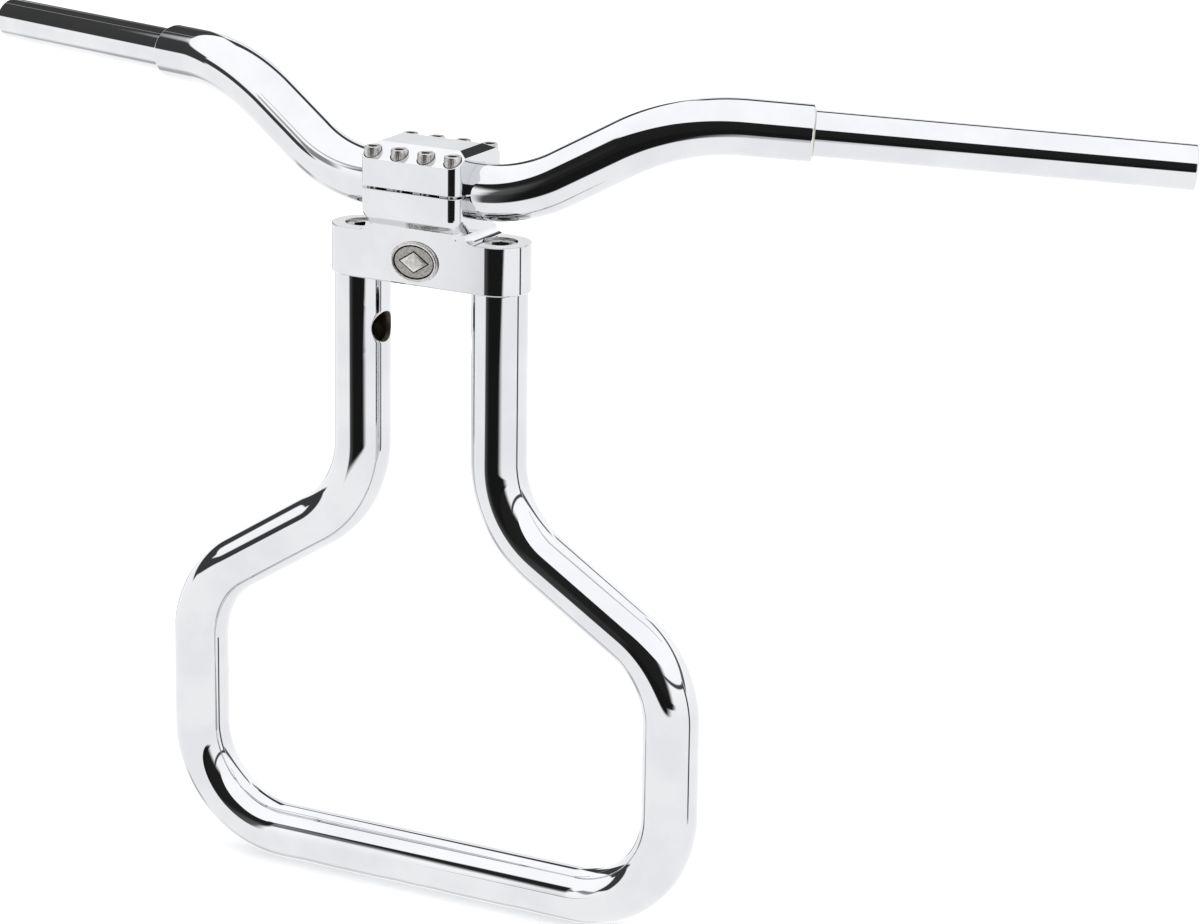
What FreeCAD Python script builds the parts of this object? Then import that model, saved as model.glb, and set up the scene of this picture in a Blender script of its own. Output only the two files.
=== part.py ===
"""Motorcycle handlebar: a swept tube clamped on top of a one-piece tubular riser loop.

Units are millimetres. X runs along the bar, +Y towards the rider, +Z up.
The origin is the centre of the straight lower crossbar, where the bike's risers clamp.
"""
import math
import os

import FreeCAD
import Part

V = FreeCAD.Vector
SIDES = (("left", -1), ("right", 1))

# Tube stock
TUBE_R = 15.875          # 1 1/4 in tube
TUBE_BORE_R = 12.60
BAR_BORE_R = 12.05       # the bar has a heavier wall than the riser loop
GRIP_R = 12.70           # 1 in grip tube
GRIP_SPIGOT_R = 12.00    # turned down to enter the main tube with a running fit
GRIP_BORE_R = 9.70
TUBE_END_ROUND = 1.2
GRIP_END_ROUND = 0.8

# Riser loop, corner points of its centreline in the XZ plane
UPRIGHT_X = 44.45        # half of the 3 1/2 in upright spacing
LOOP_HALF_WIDTH = 156.0
SHOULDER_Z = 213.4
HIP_Z = 143.5
SHOULDER_BEND = 62.5
HIP_BEND = 57.5
FOOT_BEND = 58.5
WIRE_HOLE_R = 8.75
WIRE_HOLE_Z = 315.4
WIRE_HOLE_TURN = 7.0     # degrees towards the front, from facing the other upright

# Handlebar centreline, relative to the middle of the clamp
BAR_Z = 400.2
BAR_RISE_POINT = (58.9, 0.0, 0.0)
BAR_SHOULDER_POINT = (142.8, 24.4, 47.5)
BAR_END_POINT = (390.1, 149.7, 28.1)
RISE_BEND = 84.3
SHOULDER_BAR_BEND = 116.4
GRIP_LENGTH = 206.5
GRIP_INSERT = 32.0

# Clamp
CLAMP_HALF_X = 31.75
CLAMP_HALF_Y = 25.4
CLAMP_CORNER = 6.0
CLAMP_BORE_R = 15.925    # 0.05 mm running clearance on the bar
SPLIT_GAP = 1.3
CAP_TOP = 24.0
CAP_PLATEAU_Y = 12.0
CAP_SHOULDER = 16.2
CAP_PLATEAU_X = 25.5
CAP_END_SHOULDER = 21.1
EDGE_BREAK = 0.5

# Yoke below the clamp; the clamp's front and rear sweep in to the yoke's faces
SWEEP_TOP = -15.5
SWEEP_BOTTOM = -23.0
SWEEP_BEND = 7.0
YOKE_R = 17.5
YOKE_TOP = -26.8
YOKE_BOTTOM = -54.4
NECK_FILLET = 5.0
YOKE_CHAMFER = 0.8

# Cap screws, 1/4 in socket head
SCREW_X = (-25.5, -8.5, 8.5, 25.5)
SCREW_Y = 19.9
SCREW_SEAT = 16.15
SCREW_HEAD_R = 4.76
SCREW_HEAD_H = 6.35
SCREW_SHANK_R = 3.15
SCREW_LENGTH = 25.4
SCREW_HEX = 4.76
SCREW_COUNTERBORE_R = 5.15
SCREW_CLEARANCE_R = 3.4
SCREW_THREAD_R = 3.2
SCREW_THREAD_END = -11.5

# Yoke bolts, 1/2 in socket head, with their washers and threaded plugs
BOLT_HEAD_R = 9.525
BOLT_HEAD_H = 12.7
BOLT_SHANK_R = 6.30
BOLT_LENGTH = 31.75
BOLT_HEX = 9.525
BOLT_SINK = 0.9
BOLT_COUNTERBORE_R = 9.85
BOLT_CLEARANCE_R = 6.75
BOLT_THREAD_R = 6.35
WASHER_R = 9.4
WASHER_BORE_R = 6.6
WASHER_H = 3.2
WASHER_SPLIT = 2.2
PLUG_R = 12.55           # slips into the upright's bore
PLUG_H = 20.0
PLUG_CHAMFER = 1.5

# Emblem on the yoke's front face
BADGE_HALF_W = 15.0
BADGE_HALF_H = 11.5
BADGE_PLATE = 1.6
BADGE_RIM = 1.8
BADGE_RECESS = 0.6
BADGE_Z = -40.6
BADGE_DIAMOND_W = 9.0
BADGE_DIAMOND_H = 6.0


def arc_point(centre, start, end, radius):
    """Middle of the arc that joins start to end around centre."""
    middle = (start + end) * 0.5 - centre
    middle.normalize()
    return centre + middle * radius


def rounded_path(points, bends):
    """Wire through the corner points, each inner corner rounded to its bend radius."""
    edges = []
    start = points[0]
    for corner, before, after, bend in zip(points[1:], points, points[2:], bends):
        back = (before - corner).normalize()
        ahead = (after - corner).normalize()
        half_turn = (math.pi - back.getAngle(ahead)) / 2
        reach = bend * math.tan(half_turn)
        arc_in = corner + back * reach
        arc_out = corner + ahead * reach
        centre = corner + (back + ahead).normalize() * (bend / math.cos(half_turn))
        middle = arc_point(centre, arc_in, arc_out, bend)
        edges.append(Part.makeLine(start, arc_in))
        edges.append(Part.Arc(arc_in, middle, arc_out).toShape())
        start = arc_out
    edges.append(Part.makeLine(start, points[-1]))
    return Part.Wire(edges)


def swept_rod(path, radius):
    """Round rod of the given radius along the path."""
    first = path.Edges[0]
    start = first.valueAt(first.FirstParameter)
    direction = first.tangentAt(first.FirstParameter)
    profile = Part.Wire(Part.makeCircle(radius, start, direction))
    return path.makePipeShell([profile], True, False)


def swept_tube(path, outer_r, bore_r):
    """Tube along the path."""
    return swept_rod(path, outer_r).cut(swept_rod(path, bore_r))


def ring(outer_r, bore_r, height, base):
    """Upright ring standing on the base point."""
    outer = Part.makeCylinder(outer_r, height, base)
    return outer.cut(Part.makeCylinder(bore_r, height, base))


def hexagon_prism(across_flats, depth, top_centre):
    """Hexagonal prism hanging down from top_centre, for a key socket."""
    corner_r = across_flats / math.sqrt(3)
    corners = []
    for step in range(7):
        turn = math.radians(60 * step)
        corners.append(top_centre + V(corner_r * math.cos(turn), corner_r * math.sin(turn), 0))
    return Part.Face(Part.makePolygon(corners)).extrude(V(0, 0, -depth))


def prism(points, direction):
    """Flat polygon extruded along direction."""
    return Part.Face(Part.makePolygon(points + [points[0]])).extrude(direction)


def socket_screw(x, y, seat_z, head_r, head_h, shank_r, length, across_flats):
    """Socket head screw standing on seat_z, shank pointing down."""
    head = Part.makeCylinder(head_r, head_h, V(x, y, seat_z))
    rim = [edge for edge in head.Edges if edge.BoundBox.ZMin > seat_z + head_h - 0.01]
    head = head.makeFillet(head_h * 0.08, rim)
    shank = Part.makeCylinder(shank_r, length, V(x, y, seat_z - length))
    tip = [edge for edge in shank.Edges if edge.BoundBox.ZMax < seat_z - length + 0.01]
    shank = shank.makeChamfer(shank_r * 0.2, tip)
    screw = head.fuse(shank)
    return screw.cut(hexagon_prism(across_flats, head_h * 0.5, V(x, y, seat_z + head_h)))


def riser_loop():
    """One bent tube: down an upright, around the loop and up the other upright."""
    top = BAR_Z + YOKE_BOTTOM
    half = [V(UPRIGHT_X, 0, top), V(UPRIGHT_X, 0, SHOULDER_Z), V(LOOP_HALF_WIDTH, 0, HIP_Z),
            V(LOOP_HALF_WIDTH, 0, 0)]
    mirrored = [V(-point.x, 0, point.z) for point in reversed(half)]
    bends = [SHOULDER_BEND, HIP_BEND, FOOT_BEND, FOOT_BEND, HIP_BEND, SHOULDER_BEND]
    tube = swept_tube(rounded_path(half + mirrored, bends), TUBE_R, TUBE_BORE_R)
    turn = math.radians(WIRE_HOLE_TURN)
    for _, side in SIDES:
        start = V(side * UPRIGHT_X, 0, WIRE_HOLE_Z)
        outwards = V(-side * math.cos(turn), -math.sin(turn), 0)
        tube = tube.cut(Part.makeCylinder(WIRE_HOLE_R, TUBE_R + 5, start, outwards))
    return tube


def upright_plug(side):
    """Threaded plug welded into the top of an upright."""
    base = V(side * UPRIGHT_X, 0, BAR_Z + YOKE_BOTTOM - PLUG_H)
    plug = ring(PLUG_R, BOLT_THREAD_R, PLUG_H, base)
    low = [edge for edge in plug.Edges
           if edge.BoundBox.ZMax < base.z + 0.01 and edge.BoundBox.XLength > 2 * BOLT_THREAD_R + 1]
    return plug.makeChamfer(PLUG_CHAMFER, low)


def handlebar_half_path():
    """Corner points of the right half of the bar, from the clamp outwards."""
    return [V(x, y, BAR_Z + z) for x, y, z in (BAR_RISE_POINT, BAR_SHOULDER_POINT, BAR_END_POINT)]


def grip_direction():
    """Unit vector along the right grip, pointing to its free end."""
    _, shoulder, end = handlebar_half_path()
    return (end - shoulder).normalize()


def handlebar_tube():
    """Bent main tube between the two grips."""
    rise, shoulder, end = handlebar_half_path()
    step = end - grip_direction() * GRIP_LENGTH
    half = [rise, shoulder, step]
    mirrored = [V(-point.x, point.y, point.z) for point in reversed(half)]
    bends = [SHOULDER_BAR_BEND, RISE_BEND, RISE_BEND, SHOULDER_BAR_BEND]
    tube = swept_tube(rounded_path(mirrored + half, bends), TUBE_R, BAR_BORE_R)
    rims = [edge for edge in tube.Edges
            if edge.Curve.TypeId == "Part::GeomCircle" and edge.Curve.Radius > TUBE_R - 0.01
            and abs(edge.CenterOfMass.x) > step.x - 1]
    return tube.makeFillet(TUBE_END_ROUND, rims)


def grip_tube(side):
    """Straight grip tube, its turned-down inner end pushed into the main tube."""
    end = handlebar_half_path()[-1]
    inward = grip_direction() * -1
    end = V(side * end.x, end.y, end.z)
    inward = V(side * inward.x, inward.y, inward.z)
    length = GRIP_LENGTH + GRIP_INSERT
    tube = Part.makeCylinder(GRIP_R, GRIP_LENGTH, end, inward)
    tube = tube.fuse(Part.makeCylinder(GRIP_SPIGOT_R, length, end, inward))
    tube = tube.cut(Part.makeCylinder(GRIP_BORE_R, length, end, inward)).removeSplitter()
    rims = [edge for edge in tube.Edges
            if edge.Curve.TypeId == "Part::GeomCircle" and (edge.Curve.Center - end).Length < 0.01]
    return tube.makeFillet(GRIP_END_ROUND, rims)


def cap_plan():
    """Clamp cap's plan with rounded vertical corners, as a full-height block."""
    low = SPLIT_GAP / 2
    corner = V(-CLAMP_HALF_X, -CLAMP_HALF_Y, BAR_Z + low)
    block = Part.makeBox(2 * CLAMP_HALF_X, 2 * CLAMP_HALF_Y, CAP_TOP - low, corner)
    uprights = [edge for edge in block.Edges if edge.BoundBox.ZLength > 1]
    return block.makeFillet(CLAMP_CORNER, uprights)


def screw_places():
    """Axis positions of the eight cap screws, front row first."""
    return [(x, y) for y in (-SCREW_Y, SCREW_Y) for x in SCREW_X]


def clamp_bore():
    """Cylinder that the bar runs through."""
    start = V(-CLAMP_HALF_X - 1, 0, BAR_Z)
    return Part.makeCylinder(CLAMP_BORE_R, 2 * CLAMP_HALF_X + 2, start, V(1, 0, 0))


def clamp_cap():
    """Upper clamp half, with sloped shoulders all around its flat top."""
    low = SPLIT_GAP / 2
    block = cap_plan()
    cross = [(-CLAMP_HALF_Y, low), (CLAMP_HALF_Y, low), (CLAMP_HALF_Y, CAP_SHOULDER),
             (CAP_PLATEAU_Y, CAP_TOP), (-CAP_PLATEAU_Y, CAP_TOP), (-CLAMP_HALF_Y, CAP_SHOULDER)]
    cross_points = [V(-CLAMP_HALF_X, y, BAR_Z + z) for y, z in cross]
    block = block.common(prism(cross_points, V(2 * CLAMP_HALF_X, 0, 0)))
    side = [(-CLAMP_HALF_X, low), (CLAMP_HALF_X, low), (CLAMP_HALF_X, CAP_END_SHOULDER),
            (CAP_PLATEAU_X, CAP_TOP), (-CAP_PLATEAU_X, CAP_TOP), (-CLAMP_HALF_X, CAP_END_SHOULDER)]
    side_points = [V(x, -CLAMP_HALF_Y, BAR_Z + z) for x, z in side]
    block = block.common(prism(side_points, V(0, 2 * CLAMP_HALF_Y, 0)))
    rims = [edge for edge in block.Edges if edge.BoundBox.ZLength < CAP_TOP - CAP_SHOULDER + 1]
    block = block.makeFillet(EDGE_BREAK, rims).cut(clamp_bore())
    for x, y in screw_places():
        block = block.cut(Part.makeCylinder(SCREW_COUNTERBORE_R, 30, V(x, y, BAR_Z + SCREW_SEAT)))
        block = block.cut(Part.makeCylinder(SCREW_CLEARANCE_R, 30, V(x, y, BAR_Z - 5)))
    return block


def yoke_plan():
    """Stadium-shaped bar that bridges the two uprights."""
    front = V(0, -YOKE_R, BAR_Z + YOKE_BOTTOM)
    rear = V(0, YOKE_R, BAR_Z + YOKE_BOTTOM)
    along = V(UPRIGHT_X, 0, 0)
    nose = V(UPRIGHT_X + YOKE_R, 0, BAR_Z + YOKE_BOTTOM)
    tail = V(-UPRIGHT_X - YOKE_R, 0, BAR_Z + YOKE_BOTTOM)
    outline = Part.Wire([Part.makeLine(front - along, front + along),
                         Part.Arc(front + along, nose, rear + along).toShape(),
                         Part.makeLine(rear + along, rear - along),
                         Part.Arc(rear - along, tail, front - along).toShape()])
    body = Part.Face(outline).extrude(V(0, 0, YOKE_TOP - YOKE_BOTTOM))
    low = [edge for edge in body.Edges if edge.BoundBox.ZMax < BAR_Z + YOKE_BOTTOM + 0.01]
    body = body.makeChamfer(YOKE_CHAMFER, low)
    rim = [edge for edge in body.Edges if edge.BoundBox.ZMin > BAR_Z + YOKE_TOP - 0.01]
    return body.makeFillet(EDGE_BREAK, rim)


def clamp_neck():
    """Short neck under the clamp, flared into the yoke's top on both sides."""
    base = BAR_Z + YOKE_TOP
    width = CLAMP_HALF_X + NECK_FILLET
    slice_start = V(-width, -YOKE_R, base - 1)
    neck = Part.makeBox(2 * width, 2 * YOKE_R, NECK_FILLET + 1, slice_start)
    for _, side in SIDES:
        start = V(side * width, -YOKE_R - 1, base + NECK_FILLET)
        neck = neck.cut(Part.makeCylinder(NECK_FILLET, 2 * YOKE_R + 2, start, V(0, 1, 0)))
    return neck


def lower_clamp_block():
    """Lower clamp half, its front and rear swept in to meet the yoke."""
    x = -CLAMP_HALF_X
    top = BAR_Z - SPLIT_GAP / 2
    bottom = BAR_Z + YOKE_TOP - 1
    outline = []
    for face in (-1, 1):
        chain = [V(x, face * CLAMP_HALF_Y, top), V(x, face * CLAMP_HALF_Y, BAR_Z + SWEEP_TOP),
                 V(x, face * YOKE_R, BAR_Z + SWEEP_BOTTOM), V(x, face * YOKE_R, bottom)]
        outline += rounded_path(chain, [SWEEP_BEND, SWEEP_BEND]).Edges
    outline.append(Part.makeLine(V(x, -CLAMP_HALF_Y, top), V(x, CLAMP_HALF_Y, top)))
    outline.append(Part.makeLine(V(x, -YOKE_R, bottom), V(x, YOKE_R, bottom)))
    block = Part.Face(Part.Wire(Part.__sortEdges__(outline))).extrude(V(2 * CLAMP_HALF_X, 0, 0))
    corners = [edge for edge in block.Edges
               if edge.BoundBox.XLength < 0.01 and edge.BoundBox.YLength < 2 * YOKE_R - 1]
    block = block.makeFillet(CLAMP_CORNER, corners)
    rim = [edge for edge in block.Edges if edge.BoundBox.ZMin > top - 0.01]
    return block.makeFillet(EDGE_BREAK, rim)


def clamp_base():
    """Lower clamp half and yoke, machined from one billet."""
    body = yoke_plan().fuse([clamp_neck(), lower_clamp_block()]).removeSplitter()
    body = body.cut(clamp_bore())
    for x, y in screw_places():
        depth = -SPLIT_GAP / 2 - SCREW_THREAD_END
        body = body.cut(Part.makeCylinder(SCREW_THREAD_R, depth + 1, V(x, y, BAR_Z + SCREW_THREAD_END)))
    seat = YOKE_TOP - BOLT_SINK - BOLT_HEAD_H - WASHER_H
    for _, side in SIDES:
        x = side * UPRIGHT_X
        body = body.cut(Part.makeCylinder(BOLT_COUNTERBORE_R, 60, V(x, 0, BAR_Z + seat)))
        body = body.cut(Part.makeCylinder(BOLT_CLEARANCE_R, 60, V(x, 0, BAR_Z + YOKE_BOTTOM - 1)))
    return body


def cap_screw(x, y):
    """One of the eight screws that hold the cap down."""
    return socket_screw(x, y, BAR_Z + SCREW_SEAT, SCREW_HEAD_R, SCREW_HEAD_H, SCREW_SHANK_R,
                        SCREW_LENGTH, SCREW_HEX)


def yoke_bolt(side):
    """Bolt that holds one end of the yoke to its upright."""
    seat = BAR_Z + YOKE_TOP - BOLT_SINK - BOLT_HEAD_H
    return socket_screw(side * UPRIGHT_X, 0, seat, BOLT_HEAD_R, BOLT_HEAD_H, BOLT_SHANK_R,
                        BOLT_LENGTH, BOLT_HEX)


def lock_washer(side):
    """Split washer under a yoke bolt's head."""
    base = V(side * UPRIGHT_X, 0, BAR_Z + YOKE_TOP - BOLT_SINK - BOLT_HEAD_H - WASHER_H)
    washer = ring(WASHER_R, WASHER_BORE_R, WASHER_H, base)
    slit = Part.makeBox(WASHER_R + 1, WASHER_SPLIT, WASHER_H, base + V(0, -WASHER_SPLIT / 2, 0))
    return washer.cut(slit)


def ellipse_prism(half_w, half_h, y_back, thickness):
    """Elliptical plate whose back lies at y_back and whose face looks along -Y."""
    curve = Part.Ellipse(V(half_w, y_back, BAR_Z + BADGE_Z), V(0, y_back, BAR_Z + BADGE_Z + half_h),
                         V(0, y_back, BAR_Z + BADGE_Z))
    return Part.Face(Part.Wire(curve.toShape())).extrude(V(0, -thickness, 0))


def badge():
    """Plain oval emblem: a recessed field with a raised rim and a raised diamond."""
    plate = ellipse_prism(BADGE_HALF_W, BADGE_HALF_H, -YOKE_R, BADGE_PLATE)
    field_y = -YOKE_R - BADGE_PLATE + BADGE_RECESS
    field = ellipse_prism(BADGE_HALF_W - BADGE_RIM, BADGE_HALF_H - BADGE_RIM, field_y, BADGE_RECESS)
    z = BAR_Z + BADGE_Z
    diamond = [V(-BADGE_DIAMOND_W, field_y, z), V(0, field_y, z + BADGE_DIAMOND_H),
               V(BADGE_DIAMOND_W, field_y, z), V(0, field_y, z - BADGE_DIAMOND_H)]
    return plate.cut(field.cut(prism(diamond, V(0, -BADGE_RECESS, 0))))


def export(name, shape):
    """Write one sub-part as a STEP file."""
    shape.exportStep("parts/" + name + ".step")


os.makedirs("parts", exist_ok=True)
export("riser_loop_tube", riser_loop())
export("clamp_base", clamp_base())
export("clamp_cap", clamp_cap())
export("handlebar_tube", handlebar_tube())
export("badge", badge())
for number, (screw_x, screw_y) in enumerate(screw_places(), 1):
    export("cap_screw_%d" % number, cap_screw(screw_x, screw_y))
for side_name, side_sign in SIDES:
    export("upright_plug_" + side_name, upright_plug(side_sign))
    export("yoke_bolt_" + side_name, yoke_bolt(side_sign))
    export("lock_washer_" + side_name, lock_washer(side_sign))
    export("grip_tube_" + side_name, grip_tube(side_sign))
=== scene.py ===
"""Looks of the motorcycle handlebar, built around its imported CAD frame. Metres, same frame as the CAD."""
import math

import bmesh
import bpy
from mathutils import Matrix, Vector


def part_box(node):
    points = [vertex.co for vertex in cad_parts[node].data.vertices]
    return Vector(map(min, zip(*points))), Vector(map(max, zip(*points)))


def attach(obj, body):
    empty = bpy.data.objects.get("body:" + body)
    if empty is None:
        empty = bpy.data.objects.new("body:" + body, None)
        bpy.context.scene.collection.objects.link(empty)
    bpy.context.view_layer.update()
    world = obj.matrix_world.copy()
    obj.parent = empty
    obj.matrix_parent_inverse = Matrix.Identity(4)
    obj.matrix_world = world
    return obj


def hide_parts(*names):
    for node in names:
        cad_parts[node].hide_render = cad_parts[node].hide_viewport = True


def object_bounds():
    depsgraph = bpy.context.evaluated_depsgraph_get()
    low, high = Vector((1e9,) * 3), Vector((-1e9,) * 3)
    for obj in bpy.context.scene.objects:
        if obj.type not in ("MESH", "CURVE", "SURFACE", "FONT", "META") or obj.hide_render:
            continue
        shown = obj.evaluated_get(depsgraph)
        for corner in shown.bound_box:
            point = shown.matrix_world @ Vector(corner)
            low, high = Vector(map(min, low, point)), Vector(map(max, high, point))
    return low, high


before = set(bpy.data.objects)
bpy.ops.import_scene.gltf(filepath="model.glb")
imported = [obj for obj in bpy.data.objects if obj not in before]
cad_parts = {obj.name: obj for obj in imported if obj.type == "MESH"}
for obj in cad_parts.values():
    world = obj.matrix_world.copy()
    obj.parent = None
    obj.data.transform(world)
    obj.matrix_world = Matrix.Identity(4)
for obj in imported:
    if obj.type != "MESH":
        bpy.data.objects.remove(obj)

cad_low, cad_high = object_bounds()

MM = 0.001
SIDES = (("left", -1), ("right", 1))

# Mesh fineness, in points, rings or millimetres
AROUND = 96              # points around a tube
ARC_STEP = 1.5           # between rings in a bend
LOOP_STEP = 4.0          # between rings in the loop's straight stretches
BAR_STEP = 6.0           # between rings in the bar's straight stretches
END_STEPS = 5            # rings that round a tube's end
END_MARGIN = 0.4         # from a rounded end to the first full ring
PUNCH_STEPS = 6          # rings between a side hole and the tube's grid
HOLE_BLOCK = 14          # half the columns that make room for a side hole
HOLE_REACH = 15.0        # half the height that makes room for a side hole
OVAL_POINTS = 144        # points around the emblem
RIDGE_POINTS = 6         # points in each ridge of a knurled head

# Tubes, in millimetres as in the CAD; turns are in degrees towards the front
TUBE_R = 15.875
TUBE_BORE_R = 12.60
BAR_BORE_R = 12.05
GRIP_R = 12.70
GRIP_BORE_R = 9.70
GRIP_SPIGOT_R = 12.00
GRIP_LENGTH = 206.5
GRIP_INSERT = 32.0
LOOP_END_ROUND = 0.3
BAR_END_ROUND = 1.2
GRIP_END_ROUND = 0.8
BORE_BREAK = 0.35        # chamfer at the mouth of a grip's bore
UPRIGHT_X = 44.45
LOOP_CORNERS = ((44.45, 345.8), (44.45, 213.4), (156.0, 143.5), (156.0, 0.0))
LOOP_BENDS = (62.5, 57.5, 58.5)
WIRE_HOLE_R = 8.75
WIRE_HOLE_Z = 315.4
WIRE_HOLE_TURN = 7.0
HOLE_BREAK = 0.3         # rounded edge of the hole
BAR_Z = 400.2
BAR_CORNERS = ((58.9, 0.0, 0.0), (142.8, 24.4, 47.5), (390.1, 149.7, 28.1))
BAR_BENDS = (84.3, 116.4)
BRAZE_H = 0.55           # height of the bead where a grip enters the main tube

# Faint flats on the lower side of the crossbar
DENT_X = (-78.0, -18.0, 6.0, 66.0)
DENT_WIDTH = 9.0
DENT_DEPTH = 0.34

# Screws: head radius, head height, shank radius, shank length, key width, knurl ridges
CAP_SCREW = (4.76, 6.35, 3.15, 25.4, 4.76, 36)
YOKE_BOLT = (9.525, 12.7, 6.30, 31.75, 9.525, 60)

# Emblem
FIELD_DEPTH = 0.6
DIAMOND_W = 8.6
DIAMOND_H = 5.6

# Camera, as the photograph was taken
CAM_AZIMUTH = 0.502
CAM_ELEVATION = 0.286
CAM_ROLL = 0.014
CAM_DISTANCE = 2.4829
CAM_AIM = Vector((0.1041, 0.0085, 0.2541))
CAM_LENS = 134.85

# Studio, with directions in degrees: turn from the front towards +X, and height; greys are
# strengths, and places on the floor are metres along Y
LIGHT = 1.38             # strength of the tent
DOOR_LEFT = -26.0
DOOR_RIGHT = 38.0
DOOR_FADE = 16.0         # width of the soft right side
DOOR_TOP = 35.5
DOOR_SLANT = 0.18        # drop of the doorway's top for each degree to the right
DOOR_FLARE = 0.6         # widening to the left for each degree above FLARE_START
FLARE_START = 12.0
JAMB_WIDTH = 18.0        # the doorway's left side is dark grey
JAMB_GREY = 0.09
FLOOR_RIGHT = 26.0       # the dark floor in front of the doorway
FLOOR_FADE = 20.0
FLOOR_SPREAD = 16.0      # degrees by which it is wider beyond FLOOR_FAR
FLOOR_NEAR = -1.0
FLOOR_FAR = -1.35
FLOOR_GREY = 0.012
TABLE_FRONT = -0.60      # front edge of the white table

# Dark seams of the tent: left, right, low and high in degrees, then slope, softness and depth
SEAMS = (
    (40.0, 112.0, 12.0, 17.0, -0.06, 1.5, 0.95),
    (104.0, 112.5, -22.0, 16.0, 0.0, 1.5, 0.95),
    (112.0, 166.0, 18.0, 30.0, 0.5, 2.0, 0.9),
    (172.0, 181.0, 28.0, 38.0, 0.0, 2.0, 0.9),
    (-181.0, -143.0, 25.0, 42.0, 0.0, 2.0, 0.97),
    (-165.0, -140.0, 8.0, 22.0, 0.0, 3.0, 0.25),
    (-147.0, -140.0, 0.0, 15.0, 0.0, 1.5, 0.9),
    (-147.0, -120.0, 10.0, 28.0, 0.0, 2.0, 0.97),
    (-122.0, -76.0, 4.0, 23.0, -0.25, 2.0, 0.97),
    (-80.0, -44.0, 1.5, 14.5, 0.0, 2.0, 0.97),
    (-46.0, -36.0, 8.0, 26.0, 0.0, 3.0, 0.75),
    (-38.0, -30.0, 20.0, 38.0, 0.0, 3.0, 0.85),
    (-116.0, -92.0, -39.0, -28.0, 0.0, 4.0, 0.55),
    (-150.0, -95.0, -62.0, -38.0, 0.0, 8.0, 0.3),
    (-134.0, -122.0, -18.0, -6.0, 0.0, 2.0, 0.6),
)


# ---------------------------------------------------------------- meshes

def rounded_path(points, bends, arc_step, line_step):
    """Stations (place, tangent) along the corner points, each inner corner rounded to its bend."""
    stations = []

    def run(a, b):
        length = (b - a).length
        count = max(1, round(length / line_step))
        for k in range(count):
            stations.append((a.lerp(b, k / count), (b - a).normalized()))

    start = points[0]
    for corner, before, after, bend in zip(points[1:], points, points[2:], bends):
        back = (before - corner).normalized()
        ahead = (after - corner).normalized()
        turn = math.pi - back.angle(ahead)
        reach = bend * math.tan(turn / 2)
        arc_in = corner + back * reach
        centre = corner + (back + ahead).normalized() * (bend / math.cos(turn / 2))
        out = (arc_in - centre).normalized()
        run(start, arc_in)
        count = math.ceil(turn * bend / arc_step)
        for k in range(count):
            a = turn * k / count
            place = centre + (out * math.cos(a) - back * math.sin(a)) * bend
            stations.append((place, -out * math.sin(a) - back * math.cos(a)))
        start = corner + ahead * reach
    run(start, points[-1])
    stations.append((points[-1], (points[-1] - start).normalized()))
    return stations


class Shell:
    """Vertices and faces of one mesh, in millimetres."""

    def __init__(self):
        self.verts = []
        self.faces = []
        self.slots = []

    def point(self, place):
        self.verts.append(Vector(place))
        return len(self.verts) - 1

    def face(self, corners, slot=0):
        self.faces.append(corners)
        self.slots.append(slot)

    def join(self, ring_a, ring_b, slot=0, skip=()):
        """Quads between two rings of points."""
        count = len(ring_a)
        for j in range(count):
            if j not in skip:
                k = (j + 1) % count
                self.face((ring_a[j], ring_a[k], ring_b[k], ring_b[j]), slot)

    def lid(self, ring, place, slot=0):
        """Fan from a ring to a point."""
        tip = self.point(place)
        for j in range(len(ring)):
            self.face((ring[j], ring[(j + 1) % len(ring)], tip), slot)

    def build(self, name, materials, sharp=38.0):
        mesh = bpy.data.meshes.new(name)
        mesh.from_pydata([v * MM for v in self.verts], [], self.faces)
        for material in materials:
            mesh.materials.append(material)
        for polygon, slot in zip(mesh.polygons, self.slots):
            polygon.material_index = slot
            polygon.use_smooth = True
        work = bmesh.new()
        work.from_mesh(mesh)
        bmesh.ops.recalc_face_normals(work, faces=work.faces)
        work.to_mesh(mesh)
        work.free()
        mesh.set_sharp_from_angle(angle=math.radians(sharp))
        obj = bpy.data.objects.new(name, mesh)
        bpy.context.scene.collection.objects.link(obj)
        return obj


def ring_frames(stations, first_side):
    """A side and a second vector for each station, carried along without twisting."""
    frames = []
    side = Vector(first_side)
    for _, tangent in stations:
        side = (side - tangent * side.dot(tangent)).normalized()
        frames.append((side, tangent.cross(side)))
    return frames


def tube_ring(shell, place, frame_pair, radius, dent=None):
    """Ring of points around a station, pressed in where dent says so."""
    side, other = frame_pair
    ring = []
    for j in range(AROUND):
        a = 2 * math.pi * j / AROUND
        out = side * math.cos(a) + other * math.sin(a)
        r = radius - (dent(place, out) if dent else 0.0)
        ring.append(shell.point(place + out * r))
    return ring


def hole_ring(shell, hole, surface_r, hole_r, angles):
    """Ring of a side hole's wall where it meets a cylinder of surface_r."""
    ring = []
    for angle in angles:
        swing = hole["facing"] + math.asin(hole_r * math.cos(angle) / surface_r)
        ring.append(shell.point((hole["x"] + surface_r * math.cos(swing), surface_r * math.sin(swing),
                                 hole["z"] + hole_r * math.sin(angle))))
    return ring


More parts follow.
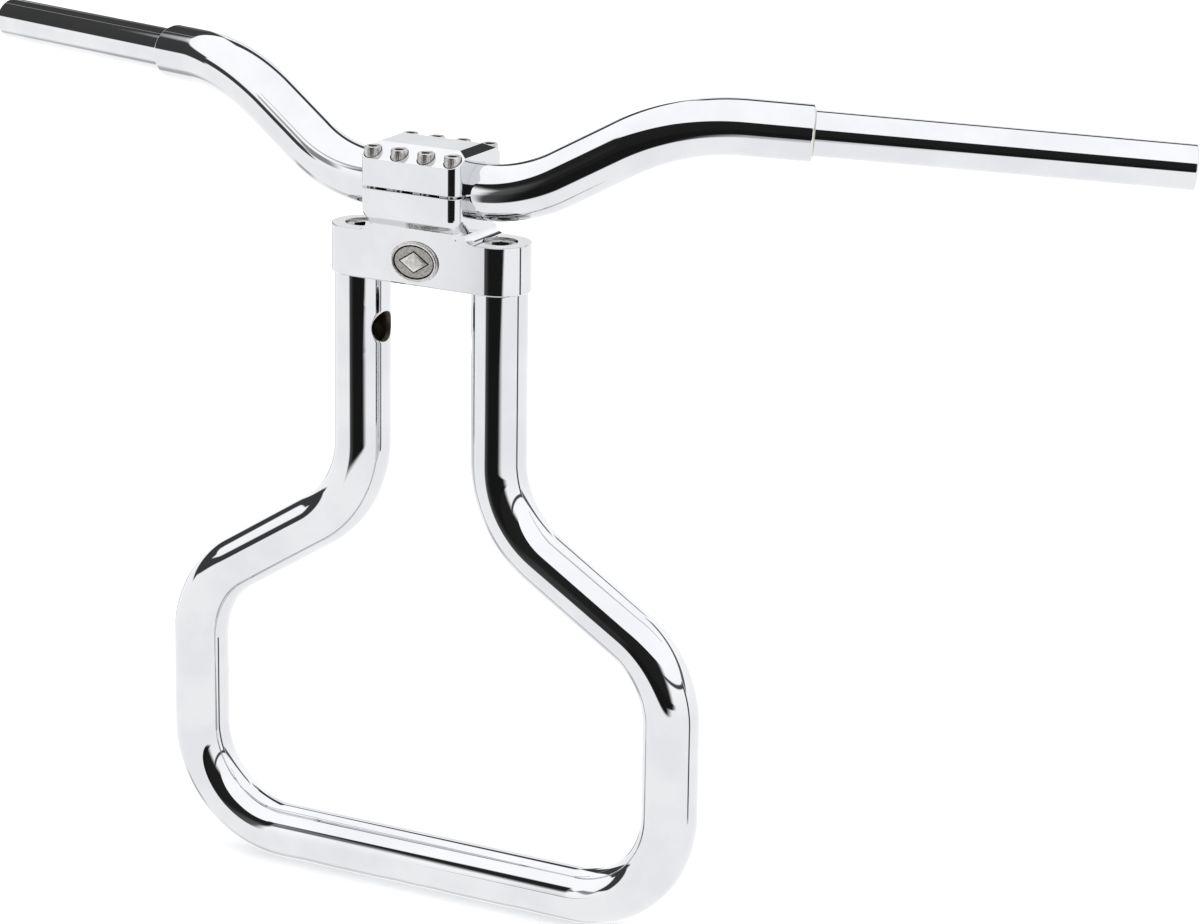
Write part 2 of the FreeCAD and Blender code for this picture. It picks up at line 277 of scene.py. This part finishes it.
def punch(shell, rows, columns, hole, surface_r, hole_r, slot):
    """Closes a cut-out block of a tube's grid with rings that shrink to a round side hole.

    Every new point lies on the tube's surface. Returns the hole's rim and its angles.
    """
    last_row = len(rows) - 1
    border = [(0, c) for c in columns]
    border += [(r, columns[-1]) for r in range(1, last_row)]
    border += [(last_row, c) for c in reversed(columns)]
    border += [(r, columns[0]) for r in range(last_row - 1, 0, -1)]
    outer = [rows[r][c] for r, c in border]
    flat = []
    for index in outer:
        place = shell.verts[index]
        swing = math.atan2(place.y, place.x - hole["x"]) - hole["facing"]
        swing = (swing + math.pi) % (2 * math.pi) - math.pi
        flat.append((swing, place.z - hole["z"]))
    angles = [math.atan2(v, surface_r * swing) for swing, v in flat]
    previous = outer
    for k in range(1, PUNCH_STEPS + 1):
        f = k / PUNCH_STEPS
        ring = []
        for (swing, v), angle in zip(flat, angles):
            rim_swing = math.asin(hole_r * math.cos(angle) / surface_r)
            turn = hole["facing"] + swing + (rim_swing - swing) * f
            ring.append(shell.point((hole["x"] + surface_r * math.cos(turn),
                                     surface_r * math.sin(turn),
                                     hole["z"] + v + (hole_r * math.sin(angle) - v) * f)))
        shell.join(previous, ring, slot)
        previous = ring
    return previous, angles


def tube_rings(shell, stations, frames, outer_r, bore_r, end_round, dent=None):
    """Outer rings with rounded ends, and bore rings, of a tube along its stations."""

    def rounded_end(index, inward):
        place = stations[index][0]
        rings = []
        for k in range(END_STEPS + 1):
            q = math.pi / 2 * k / END_STEPS
            rings.append(tube_ring(shell, place + inward * end_round * (1 - math.cos(q)),
                                   frames[index], outer_r - end_round * (1 - math.sin(q))))
        full = place + inward * (end_round + END_MARGIN)
        rings.append(tube_ring(shell, full, frames[index], outer_r))
        return rings

    start = rounded_end(0, stations[0][1])
    finish = rounded_end(-1, -stations[-1][1])
    middle = [tube_ring(shell, place, pair, outer_r, dent)
              for (place, _), pair in zip(stations[1:-1], frames[1:-1])]
    inner = [tube_ring(shell, place, pair, bore_r) for (place, _), pair in zip(stations, frames)]
    return start, middle, finish[::-1], inner


def riser_tube(materials):
    """The one-piece loop, with its two wiring holes."""
    shell = Shell()
    right = [Vector((x, 0, z)) for x, z in LOOP_CORNERS]
    left = [Vector((-point.x, 0, point.z)) for point in reversed(right)]
    stations = rounded_path(right + left, LOOP_BENDS + LOOP_BENDS[::-1], ARC_STEP, LOOP_STEP)
    frames = ring_frames(stations, (0, 1, 0))
    start, middle, finish, inner = tube_rings(shell, stations, frames, TUBE_R, TUBE_BORE_R,
                                              LOOP_END_ROUND, crossbar_dent)
    outer = start + middle + finish
    column = round((270 - WIRE_HOLE_TURN) / 360 * AROUND)
    columns = list(range(column - HOLE_BLOCK, column + HOLE_BLOCK + 1))
    outer_cut, inner_cut = {}, {}
    for _, sign in SIDES:
        facing = math.atan2(-math.sin(math.radians(WIRE_HOLE_TURN)),
                            -sign * math.cos(math.radians(WIRE_HOLE_TURN)))
        hole = {"x": sign * UPRIGHT_X, "z": WIRE_HOLE_Z, "facing": facing}
        near = [i for i, (place, _) in enumerate(stations)
                if place.x * sign > 0 and abs(place.z - WIRE_HOLE_Z) < HOLE_REACH]
        outer_rows = [outer[len(start) - 1 + i] for i in near]
        inner_rows = [inner[i] for i in near]
        for i in near[:-1]:
            outer_cut[len(start) - 1 + i] = columns[:-1]
            inner_cut[i] = columns[:-1]
        rim, angles = punch(shell, outer_rows, columns, hole, TUBE_R, WIRE_HOLE_R + HOLE_BREAK, 0)
        inset = 0.3 * HOLE_BREAK
        edge = hole_ring(shell, hole, TUBE_R - inset, WIRE_HOLE_R + inset, angles)
        wall = hole_ring(shell, hole, TUBE_R - HOLE_BREAK, WIRE_HOLE_R, angles)
        inner_rim, _ = punch(shell, inner_rows, columns, hole, TUBE_BORE_R, WIRE_HOLE_R, 1)
        shell.join(rim, edge, 0)
        shell.join(edge, wall, 0)
        shell.join(wall, inner_rim, 1)
    for i in range(len(outer) - 1):
        shell.join(outer[i], outer[i + 1], 0, outer_cut.get(i, ()))
    for i in range(len(inner) - 1):
        shell.join(inner[i], inner[i + 1], 1, inner_cut.get(i, ()))
    shell.join(outer[0], inner[0], 1)
    shell.join(outer[-1], inner[-1], 1)
    return shell.build("riser_loop", materials)


def crossbar_dent(place, out):
    """Faint flats that the bending shoes leave on the lower side of the crossbar."""
    if place.z > 1 or out.z > 0:
        return 0.0
    depth = sum(math.exp(-((place.x - x) / DENT_WIDTH) ** 2) for x in DENT_X)
    return DENT_DEPTH * depth * out.z * out.z


def bar_corners():
    """Corner points of the right half of the bar, from the clamp outwards."""
    return [Vector((x, y, BAR_Z + z)) for x, y, z in BAR_CORNERS]


def main_bar(materials):
    """The bent main tube of the bar."""
    shell = Shell()
    rise, shoulder, end = bar_corners()
    step = end - (end - shoulder).normalized() * GRIP_LENGTH
    half = [rise, shoulder, step]
    mirrored = [Vector((-point.x, point.y, point.z)) for point in reversed(half)]
    stations = rounded_path(mirrored + half, BAR_BENDS[::-1] + BAR_BENDS, ARC_STEP, BAR_STEP)
    frames = ring_frames(stations, (0, 0, 1))
    start, middle, finish, inner = tube_rings(shell, stations, frames, TUBE_R, BAR_BORE_R,
                                              BAR_END_ROUND)
    outer = start + middle + finish
    for rings, slot in ((outer, 0), (inner, 1)):
        for ring_a, ring_b in zip(rings, rings[1:]):
            shell.join(ring_a, ring_b, slot)
    shell.join(outer[0], inner[0], 0)
    shell.join(outer[-1], inner[-1], 0)
    return shell.build("bar_main_tube", materials)


def lathe(shell, origin, axis, profile, around, closed=True):
    """Turned shape: profile is (distance along axis, radius or radius by angle, slot)."""
    axis = axis.normalized()
    side = axis.orthogonal().normalized()
    if abs(axis.z) > 0.99:
        side = Vector((1, 0, 0))
    other = axis.cross(side)
    rings = []
    for along, radius, _ in profile:
        ring = []
        for j in range(around):
            a = 2 * math.pi * j / around
            r = radius(a) if callable(radius) else radius
            ring.append(shell.point(origin + axis * along
                                    + (side * math.cos(a) + other * math.sin(a)) * r))
        rings.append(ring)
    for k in range(len(rings) - 1):
        shell.join(rings[k], rings[k + 1], profile[k][2])
    if closed:
        shell.join(rings[-1], rings[0], profile[-1][2])
    return rings


def quarter(along, radius, size, step_along, slot, count=4):
    """Profile points of a rounded outer corner, from the face at along to the side."""
    points = []
    for k in range(count + 1):
        q = math.pi / 2 * k / count
        points.append((along + step_along * size * (1 - math.cos(q)),
                       radius - size * (1 - math.sin(q)), slot))
    return points


def grip(name, sign, materials):
    """Straight grip tube with its turned-down inner end."""
    shell = Shell()
    _, shoulder, end = bar_corners()
    inward = (shoulder - end).normalized()
    origin = Vector((sign * end.x, end.y, end.z))
    inward = Vector((sign * inward.x, inward.y, inward.z))
    inner_end = GRIP_LENGTH + GRIP_INSERT
    profile = quarter(0, GRIP_R, GRIP_END_ROUND, 1, 0)
    profile += [(GRIP_END_ROUND + 0.5, GRIP_R, 0), (GRIP_LENGTH - 0.5, GRIP_R, 0),
                (GRIP_LENGTH, GRIP_R, 1), (GRIP_LENGTH, GRIP_SPIGOT_R, 1),
                (inner_end, GRIP_SPIGOT_R, 1), (inner_end, GRIP_BORE_R, 1), (1.0, GRIP_BORE_R, 1),
                (BORE_BREAK, GRIP_BORE_R, 0), (0, GRIP_BORE_R + BORE_BREAK, 0)]
    lathe(shell, origin, inward, profile, AROUND)
    return shell.build(name, materials)


def braze_ring(name, sign, materials):
    """Thin bead of braze where a grip tube enters the main tube."""
    shell = Shell()
    _, shoulder, end = bar_corners()
    inward = (shoulder - end).normalized()
    place = end + inward * GRIP_LENGTH
    origin = Vector((sign * place.x, place.y, place.z))
    outward = Vector((-sign * inward.x, -inward.y, -inward.z))
    foot = GRIP_R - 0.05

    def lumpy(share):
        height = BRAZE_H * share
        return lambda a: foot + height * (1 + 0.12 * math.sin(5 * a) + 0.07 * math.sin(11 * a))

    profile = [(-0.3, foot, 0), (-0.3, lumpy(1.0), 0), (0.12, lumpy(0.92), 0),
               (0.32, lumpy(0.6), 0), (0.42, lumpy(0.25), 0), (0.45, foot, 0)]
    lathe(shell, origin, outward, profile, AROUND)
    return shell.build(name, materials, 80)


def socket_screw(name, x, y, top_z, sizes, materials):
    """Socket head screw hanging from its top face: knurled side, chamfered hexagon socket in painted shade.
    """
    head_r, head_h, shank_r, shank_l, key, ridges = sizes
    shell = Shell()
    around = ridges * RIDGE_POINTS
    edge = head_h * 0.08
    knurl = head_r * 0.022
    flat_r = key / 2
    lead = 0.05 * head_r

    def ridged(a):
        return head_r - knurl * (0.5 - 0.5 * math.cos(ridges * a)) ** 2

    def hexagon(extra):
        def radius(a):
            return (flat_r + extra) / math.cos((a % (math.pi / 3)) - math.pi / 6)
        return radius

    corner = (flat_r + 0.16) / math.cos(math.pi / 6)
    profile = [(0, corner + lead, 0), (0, head_r - edge - 0.2, 0)]
    profile += quarter(0, head_r - knurl, edge, 1, 0)
    profile += [(head_h * 0.17, head_r - knurl, 0), (head_h * 0.21, ridged, 0),
                (head_h * 0.86, ridged, 0), (head_h * 0.9, head_r - knurl, 0),
                (head_h - 0.3, head_r - knurl, 0), (head_h, head_r - knurl - 0.3, 0),
                (head_h, shank_r + 0.2, 0), (head_h + 0.2, shank_r, 0)]
    shank_end = head_h + shank_l
    profile += [(shank_end - shank_r * 0.2, shank_r, 0), (shank_end, shank_r * 0.8, 0)]
    down = Vector((0, 0, -1))
    origin = Vector((x, y, top_z))
    rings = lathe(shell, origin, down, profile, around, False)
    shell.lid(rings[-1], origin + down * shank_end)
    depth = head_h * 0.5
    # Slot 1 lines the socket with near-black painted shade.
    socket = [(lead, hexagon(0.0), 1), (depth, hexagon(0.0), 1), (depth, hexagon(-0.4), 1)]
    socket_rings = lathe(shell, origin, down, socket, around, False)
    shell.join(rings[0], socket_rings[0], 0)
    shell.lid(socket_rings[-1], origin + down * (depth + flat_r * 0.35), 1)
    return shell.build(name, materials)


def emblem(materials):
    """Plain oval emblem: rounded rim, dark groove of painted shade, sunk field and a faceted diamond."""
    shell = Shell()
    low, high = (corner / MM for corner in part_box("badge"))
    centre_z = (low.z + high.z) / 2
    half_w = (high.x - low.x) / 2
    half_h = (high.z - low.z) / 2
    back, front = high.y, low.y

    def oval(inset, y):
        ring = []
        for j in range(OVAL_POINTS):
            a = 2 * math.pi * j / OVAL_POINTS
            ring.append(shell.point(((half_w - inset) * math.cos(a), y,
                                     centre_z + (half_h - inset) * math.sin(a))))
        return ring

    field = front + FIELD_DEPTH
    # Slot 2 is the groove's near-black painted shade.
    steps = [(0, back, 0), (0, front + 0.55, 0), (0.12, front + 0.22, 0), (0.38, front + 0.04, 0),
             (0.7, front, 0), (1.25, front, 0), (1.55, front + 0.06, 0), (1.75, front + 0.22, 2),
             (1.85, field - 0.1, 2), (2.05, field, 2), (2.75, field, 1), (6.0, field, 1)]
    rings = [oval(inset, y) for inset, y, _ in steps]
    for k in range(len(rings) - 1):
        shell.join(rings[k], rings[k + 1], steps[k][2])
    shell.lid(rings[-1], (0, field, centre_z), 1)
    shell.lid(rings[0], (0, back, centre_z), 0)
    # The diamond's outer ring takes slot 2, painted shade where the diamond meets the field.
    levels = ((1.16, field + 0.15, 2), (1.16, field - 0.02, 2), (1.0, field - 0.03, 0),
              (1.0, field - 0.25, 0), (0.9, field - 0.42, 0), (0.62, field - 0.42, 0))
    for scale, y, slot in levels:
        ring = [shell.point((DIAMOND_W * scale * c, y, centre_z + DIAMOND_H * scale * s))
                for c, s in ((1, 0), (0, 1), (-1, 0), (0, -1))]
        if y > field:
            shell.lid(ring, (0, y, centre_z), slot)
        else:
            shell.join(previous, ring, below)
        previous, below = ring, slot
    shell.lid(previous, (0, front + 0.02, centre_z), 0)
    return shell.build("oval_emblem", materials, 30)


# ---------------------------------------------------------------- materials

def put(tree, socket, value):
    """Sets a socket, or links it if the value is another node's output."""
    if isinstance(value, bpy.types.NodeSocket):
        tree.links.new(value, socket)
    else:
        socket.default_value = value


def add(tree, kind, inputs=(), output=0, **settings):
    """Adds a node, fills its inputs by name or number and returns one output."""
    node = tree.nodes.new(kind)
    for key, value in settings.items():
        setattr(node, key, value)
    for key, value in dict(inputs).items():
        put(tree, node.inputs[key], value)
    return node.outputs[output]


def calc(tree, operation, a, b=0.0):
    """One step of arithmetic."""
    return add(tree, "ShaderNodeMath", {0: a, 1: b}, operation=operation)


def ramp(tree, value, start, end, low=0.0, high=1.0):
    """Smooth step of value from low at start to high at end."""
    return add(tree, "ShaderNodeMapRange", {0: value, 1: start, 2: end, 3: low, 4: high},
               interpolation_type="SMOOTHSTEP")


def noise(tree, place, stretch, scale, detail=3.0, roughness=0.55):
    """Cloudy noise, drawn out by stretch."""
    stretched = add(tree, "ShaderNodeMapping", {"Vector": place, "Scale": stretch})
    return add(tree, "ShaderNodeTexNoise", {"Vector": stretched, "Scale": scale, "Detail": detail,
                                            "Roughness": roughness})


def blank(name):
    """New metal material with its tree, its shader and the object's coordinates."""
    material = bpy.data.materials.new(name)
    material.use_nodes = True
    tree = material.node_tree
    tree.nodes.clear()
    shader = tree.nodes.new("ShaderNodeBsdfPrincipled")
    output = tree.nodes.new("ShaderNodeOutputMaterial")
    tree.links.new(shader.outputs[0], output.inputs[0])
    shader.inputs["Metallic"].default_value = 1.0
    place = add(tree, "ShaderNodeTexCoord", output=3)
    return material, tree, shader, place


def tint(tree, factor, dark, light):
    """Colour between dark and light."""
    return add(tree, "ShaderNodeMix", {0: factor, 6: dark + (1,), 7: light + (1,)}, 2, data_type="RGBA")


def chrome(name, haze, wave_height, grain):
    """Mirror plate: faint haze, hairline polishing marks along grain, slow waviness underneath."""
    material, tree, shader, place = blank(name)
    cloud = noise(tree, place, (1, 1, 1), 28, 4)
    shade = tint(tree, ramp(tree, cloud, 0.35, 0.65), (0.655, 0.662, 0.675), (0.70, 0.705, 0.715))
    put(tree, shader.inputs["Base Color"], shade)
    bloom = noise(tree, place, (1, 1, 1), 240, 5)
    hairline = noise(tree, place, grain, 60, 2)
    marks = ramp(tree, hairline, 0.63, 0.72, 0.0, haze * 1.6)
    base = ramp(tree, bloom, 0.3, 0.75, haze * 0.5, haze * 1.5)
    put(tree, shader.inputs["Roughness"], calc(tree, "ADD", base, marks))
    waves = noise(tree, place, (1, 1, 1), 42, 1)
    wavy = add(tree, "ShaderNodeBump", {"Height": waves, "Strength": 1.0, "Distance": wave_height})
    fine = add(tree, "ShaderNodeBump", {"Height": hairline, "Strength": 1.0, "Distance": 1.5e-7,
                                        "Normal": wavy})
    put(tree, shader.inputs["Normal"], fine)
    return material


def raw_steel(name, dark, light):
    """Unplated steel: brown-grey film, drawing lines and a dull grain. Its near-black copy is painted shade
    in the screw sockets.
    """
    material, tree, shader, place = blank(name)
    patches = noise(tree, place, (1, 1, 1), 130, 6, 0.65)
    put(tree, shader.inputs["Base Color"], tint(tree, ramp(tree, patches, 0.35, 0.68), dark, light))
    grain = noise(tree, place, (1, 1, 0.2), 1400, 3)
    put(tree, shader.inputs["Roughness"], ramp(tree, grain, 0.3, 0.7, 0.34, 0.58))
    shader.inputs["Metallic"].default_value = 0.85
    rough = add(tree, "ShaderNodeBump", {"Height": patches, "Strength": 0.6, "Distance": 1.2e-4})
    put(tree, shader.inputs["Normal"], rough)
    return material


def stainless(name):
    """Satin stainless of the screws: mottled grey with a tumbled grain."""
    material, tree, shader, place = blank(name)
    cloud = noise(tree, place, (1, 1, 1), 420, 4)
    put(tree, shader.inputs["Base Color"],
        tint(tree, ramp(tree, cloud, 0.35, 0.65), (0.47, 0.46, 0.44), (0.64, 0.63, 0.61)))
    grain = noise(tree, place, (1, 1, 3), 2600, 4, 0.7)
    put(tree, shader.inputs["Roughness"], ramp(tree, grain, 0.3, 0.7, 0.2, 0.4))
    rough = add(tree, "ShaderNodeBump", {"Height": grain, "Strength": 0.5, "Distance": 4e-5})
    put(tree, shader.inputs["Normal"], rough)
    return material


def pewter(name, dark, light, low, high):
    """Cast badge metal: soft mottling, fine casting grain. Its near-black copy is the emblem's painted
    shade.
    """
    material, tree, shader, place = blank(name)
    cloud = noise(tree, place, (1, 1, 1), 600, 5, 0.6)
    put(tree, shader.inputs["Base Color"], tint(tree, ramp(tree, cloud, 0.3, 0.7), dark, light))
    grain = noise(tree, place, (1, 1, 1), 3200, 4, 0.7)
    put(tree, shader.inputs["Roughness"], ramp(tree, grain, 0.3, 0.7, low, high))
    rough = add(tree, "ShaderNodeBump", {"Height": grain, "Strength": 0.6, "Distance": 6e-5})
    put(tree, shader.inputs["Normal"], rough)
    return material


# ---------------------------------------------------------------- studio

def band(tree, value, low, high, soft):
    """1 where value lies between low and high, with soft edges."""
    rise = ramp(tree, value, low, calc(tree, "ADD", low, soft))
    return calc(tree, "MULTIPLY", rise,
                calc(tree, "SUBTRACT", 1.0, ramp(tree, value, calc(tree, "SUBTRACT", high, soft), high)))


def bearing(tree, vector):
    """Degrees from the front (-Y) towards +X, and degrees above the horizon."""
    parts = tree.nodes.new("ShaderNodeSeparateXYZ")
    put(tree, parts.inputs[0], vector)
    front = calc(tree, "MULTIPLY", parts.outputs[1], -1.0)
    turn = calc(tree, "MULTIPLY", calc(tree, "ARCTAN2", parts.outputs[0], front), 180 / math.pi)
    lift = calc(tree, "MULTIPLY", calc(tree, "ARCSINE", parts.outputs[2]), 180 / math.pi)
    return turn, lift


def studio_light():
    """White tent with a dark doorway in front and dark seams where its panels meet."""
    world = bpy.data.worlds.new("studio_light")
    bpy.context.scene.world = world
    world.use_nodes = True
    tree = world.node_tree
    tree.nodes.clear()
    turn, lift = bearing(tree, add(tree, "ShaderNodeTexCoord", output=0))
    raised = calc(tree, "MAXIMUM", calc(tree, "SUBTRACT", lift, FLARE_START), 0.0)
    flare = calc(tree, "MULTIPLY", raised, DOOR_FLARE)
    inside = calc(tree, "SUBTRACT", calc(tree, "ADD", turn, flare), DOOR_LEFT)
    slant = calc(tree, "MULTIPLY", calc(tree, "MAXIMUM", turn, 0.0), DOOR_SLANT)
    top = calc(tree, "SUBTRACT", DOOR_TOP, slant)
    right_side = ramp(tree, turn, DOOR_RIGHT, DOOR_RIGHT + DOOR_FADE, 1.0, 0.0)
    door = calc(tree, "MULTIPLY", ramp(tree, inside, -2.5, 2.5), right_side)
    door = calc(tree, "MULTIPLY", door, band(tree, lift, -4.0, top, 1.0))
    jamb = calc(tree, "MULTIPLY", ramp(tree, inside, 0.0, JAMB_WIDTH, JAMB_GREY, 0.0),
                ramp(tree, lift, FLARE_START, 2 * FLARE_START, 1.0, 0.0))
    dark = calc(tree, "MULTIPLY", door, calc(tree, "SUBTRACT", 1.0, jamb))
    for left, right, low, high, slope, soft, depth in SEAMS:
        middle = (left + right) / 2
        tilt = calc(tree, "MULTIPLY", calc(tree, "SUBTRACT", turn, middle), -slope)
        level = calc(tree, "ADD", lift, tilt)
        seam = calc(tree, "MULTIPLY", band(tree, turn, left, right, soft),
                    band(tree, level, low, high, soft))
        dark = calc(tree, "MAXIMUM", dark, calc(tree, "MULTIPLY", seam, depth))
    light = ramp(tree, lift, -12.0, 30.0, 0.86, 1.0)
    left_over = calc(tree, "SUBTRACT", 1.0, calc(tree, "MULTIPLY", dark, 0.985))
    strength = calc(tree, "MULTIPLY", light, left_over)
    glow = add(tree, "ShaderNodeBackground", {"Color": (0.985, 0.99, 1.0, 1.0),
                                              "Strength": calc(tree, "MULTIPLY", strength, LIGHT)})
    put(tree, tree.nodes.new("ShaderNodeOutputWorld").inputs[0], glow)


def stage_mesh(name, verts, faces, material):
    """Smooth mesh of the studio. It casts no shadow and lights nothing."""
    mesh = bpy.data.meshes.new(name)
    mesh.from_pydata(verts, [], faces)
    mesh.materials.append(material)
    for polygon in mesh.polygons:
        polygon.use_smooth = True
    obj = bpy.data.objects.new(name, mesh)
    bpy.context.scene.collection.objects.link(obj)
    obj.visible_diffuse = False
    obj.visible_shadow = False
    return obj


def pale_sweep():
    """Round pale floor that curves up into a wall all around; only the camera sees it."""
    floor_z = cad_low.z - 0.0002
    material = bpy.data.materials.new("pale_floor")
    material.use_nodes = True
    tree = material.node_tree
    tree.nodes.clear()
    place = add(tree, "ShaderNodeTexCoord", output=3)
    shade = tint(tree, noise(tree, place, (1, 1, 1), 3, 3), (0.84, 0.845, 0.85), (0.87, 0.872, 0.875))
    matt = add(tree, "ShaderNodeBsdfDiffuse", {"Color": shade})
    fill = add(tree, "ShaderNodeEmission", {"Color": shade, "Strength": 0.35})
    lit = add(tree, "ShaderNodeAddShader", {0: matt, 1: fill})
    put(tree, tree.nodes.new("ShaderNodeOutputMaterial").inputs[0], lit)
    flat_r, bend_r, wall_h, steps = 7.0, 2.0, 12.0, 12
    outline = [(0.0, 0.0), (1.0, 0.0), (flat_r, 0.0)]
    for k in range(1, steps + 1):
        a = math.pi / 2 * k / steps
        outline.append((flat_r + bend_r * math.sin(a), bend_r * (1 - math.cos(a))))
    outline.append((flat_r + bend_r, wall_h))
    verts, faces = [], []
    for r, z in outline:
        for j in range(AROUND):
            a = 2 * math.pi * j / AROUND
            verts.append((r * math.cos(a), r * math.sin(a), floor_z + z))
    for i in range(len(outline) - 1):
        low = i * AROUND
        high = low + AROUND
        for j in range(AROUND):
            k = (j + 1) % AROUND
            faces.append((low + j, low + k, high + k, high + j))
    sweep = stage_mesh("pale_sweep", verts, faces, material)
    sweep.visible_glossy = False


def dark_gap():
    """Dark floor that leads to the doorway, seen only in reflections. Further out it is wider."""
    material = bpy.data.materials.new("dark_gap")
    material.use_nodes = True
    tree = material.node_tree
    tree.nodes.clear()
    place = add(tree, "ShaderNodeTexCoord", output=3)
    turn, _ = bearing(tree, place)
    parts = tree.nodes.new("ShaderNodeSeparateXYZ")
    put(tree, parts.inputs[0], place)
    edge = ramp(tree, turn, DOOR_LEFT - 4.0, DOOR_LEFT + 2.0)
    wider = ramp(tree, parts.outputs[1], FLOOR_FAR, FLOOR_NEAR, FLOOR_SPREAD, 0.0)
    shifted = calc(tree, "SUBTRACT", turn, wider)
    fade = ramp(tree, shifted, FLOOR_RIGHT, FLOOR_RIGHT + FLOOR_FADE, 1.0, 0.0)
    front = ramp(tree, parts.outputs[1], TABLE_FRONT - 0.12, TABLE_FRONT, 1.0, 0.0)
    mask = calc(tree, "MULTIPLY", calc(tree, "MULTIPLY", edge, fade), front)
    grey = ramp(tree, turn, DOOR_LEFT, DOOR_LEFT + JAMB_WIDTH, JAMB_GREY, FLOOR_GREY)
    glow = add(tree, "ShaderNodeEmission", {"Strength": grey})
    clear = add(tree, "ShaderNodeBsdfTransparent")
    mixed = add(tree, "ShaderNodeMixShader", {0: mask, 1: clear, 2: glow})
    put(tree, tree.nodes.new("ShaderNodeOutputMaterial").inputs[0], mixed)
    z = cad_low.z
    verts = [(-6, -9, z), (12, -9, z), (12, TABLE_FRONT, z), (-6, TABLE_FRONT, z)]
    gap = stage_mesh("dark_gap", verts, [(0, 1, 2, 3)], material)
    gap.visible_camera = False


def photograph_camera():
    """Camera at the photograph's angle, distance and framing."""
    sin_a, cos_a = math.sin(CAM_AZIMUTH), math.cos(CAM_AZIMUTH)
    sin_e, cos_e = math.sin(CAM_ELEVATION), math.cos(CAM_ELEVATION)
    back = Vector((sin_a * cos_e, -cos_a * cos_e, sin_e))
    level = Vector((cos_a, sin_a, 0))
    right = level * math.cos(CAM_ROLL) + back.cross(level) * math.sin(CAM_ROLL)
    up = back.cross(right)
    data = bpy.data.cameras.new("photograph")
    data.lens = CAM_LENS
    data.sensor_width = 36.0
    data.clip_end = 50.0
    camera = bpy.data.objects.new("photograph", data)
    bpy.context.scene.collection.objects.link(camera)
    place = CAM_AIM + back * CAM_DISTANCE
    camera.matrix_world = Matrix((right, up, back)).transposed().to_4x4()
    camera.location = place
    bpy.context.scene.camera = camera


# ---------------------------------------------------------------- assembly

tube_chrome = chrome("tube_chrome", 0.022, 5e-6, (1, 1, 40))
bar_chrome = chrome("bar_chrome", 0.022, 5e-6, (40, 1, 1))
billet_chrome = chrome("billet_chrome", 0.035, 2e-6, (1, 30, 40))
bore_steel = raw_steel("bore_steel", (0.16, 0.13, 0.10), (0.50, 0.45, 0.38))
plain_steel = raw_steel("plain_steel", (0.20, 0.20, 0.20), (0.48, 0.48, 0.47))
braze = raw_steel("braze", (0.36, 0.30, 0.18), (0.62, 0.56, 0.40))
screw_steel = stainless("screw_steel")
# Near-black painted shade inside the screws' hexagon sockets.
socket_painted_shade = raw_steel("socket_painted_shade", (0.05, 0.05, 0.05), (0.17, 0.165, 0.16))
badge_metal = pewter("badge_metal", (0.60, 0.585, 0.555), (0.80, 0.785, 0.76), 0.26, 0.42)
badge_field = pewter("badge_field", (0.36, 0.35, 0.33), (0.56, 0.54, 0.51), 0.36, 0.52)
# Near-black painted shade for the emblem's groove and the ring round its diamond.
badge_painted_shade = pewter("badge_painted_shade", (0.02, 0.018, 0.016), (0.07, 0.065, 0.06), 0.5, 0.7)

loop = riser_tube([tube_chrome, bore_steel])
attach(loop, "riser")
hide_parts("riser_loop_tube")

bar = main_bar([bar_chrome, bore_steel])
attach(bar, "bar")
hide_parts("handlebar_tube")

for side_name, side_sign in SIDES:
    tube = grip("grip_" + side_name, side_sign, [bar_chrome, bore_steel])
    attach(tube, "bar")
    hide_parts("grip_tube_" + side_name)
    bead = braze_ring("braze_bead_" + side_name, side_sign, [braze])
    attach(bead, "bar")

screws = [("cap_screw_%d" % number, CAP_SCREW) for number in range(1, 9)]
screws += [("yoke_bolt_" + side_name, YOKE_BOLT) for side_name, _ in SIDES]
for node_name, sizes in screws:
    low, high = (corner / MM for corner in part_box(node_name))
    # Slot 1 of each head is the socket's painted shade.
    screw = socket_screw("head_" + node_name, (low.x + high.x) / 2, (low.y + high.y) / 2, high.z,
                         sizes, [screw_steel, socket_painted_shade])
    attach(screw, "riser")
    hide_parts(node_name)

# The third material is the emblem's painted shade.
badge = emblem([badge_metal, badge_field, badge_painted_shade])
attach(badge, "riser")
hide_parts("badge")

carried = {"clamp_base": billet_chrome, "clamp_cap": billet_chrome}
for side_name, _ in SIDES:
    carried["lock_washer_" + side_name] = plain_steel
    carried["upright_plug_" + side_name] = plain_steel
for node_name, finish in carried.items():
    for material_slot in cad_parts[node_name].material_slots:
        material_slot.link = "OBJECT"
        material_slot.material = finish

pale_sweep()
dark_gap()
studio_light()
photograph_camera()
bpy.context.scene.view_settings.view_transform = "Standard"
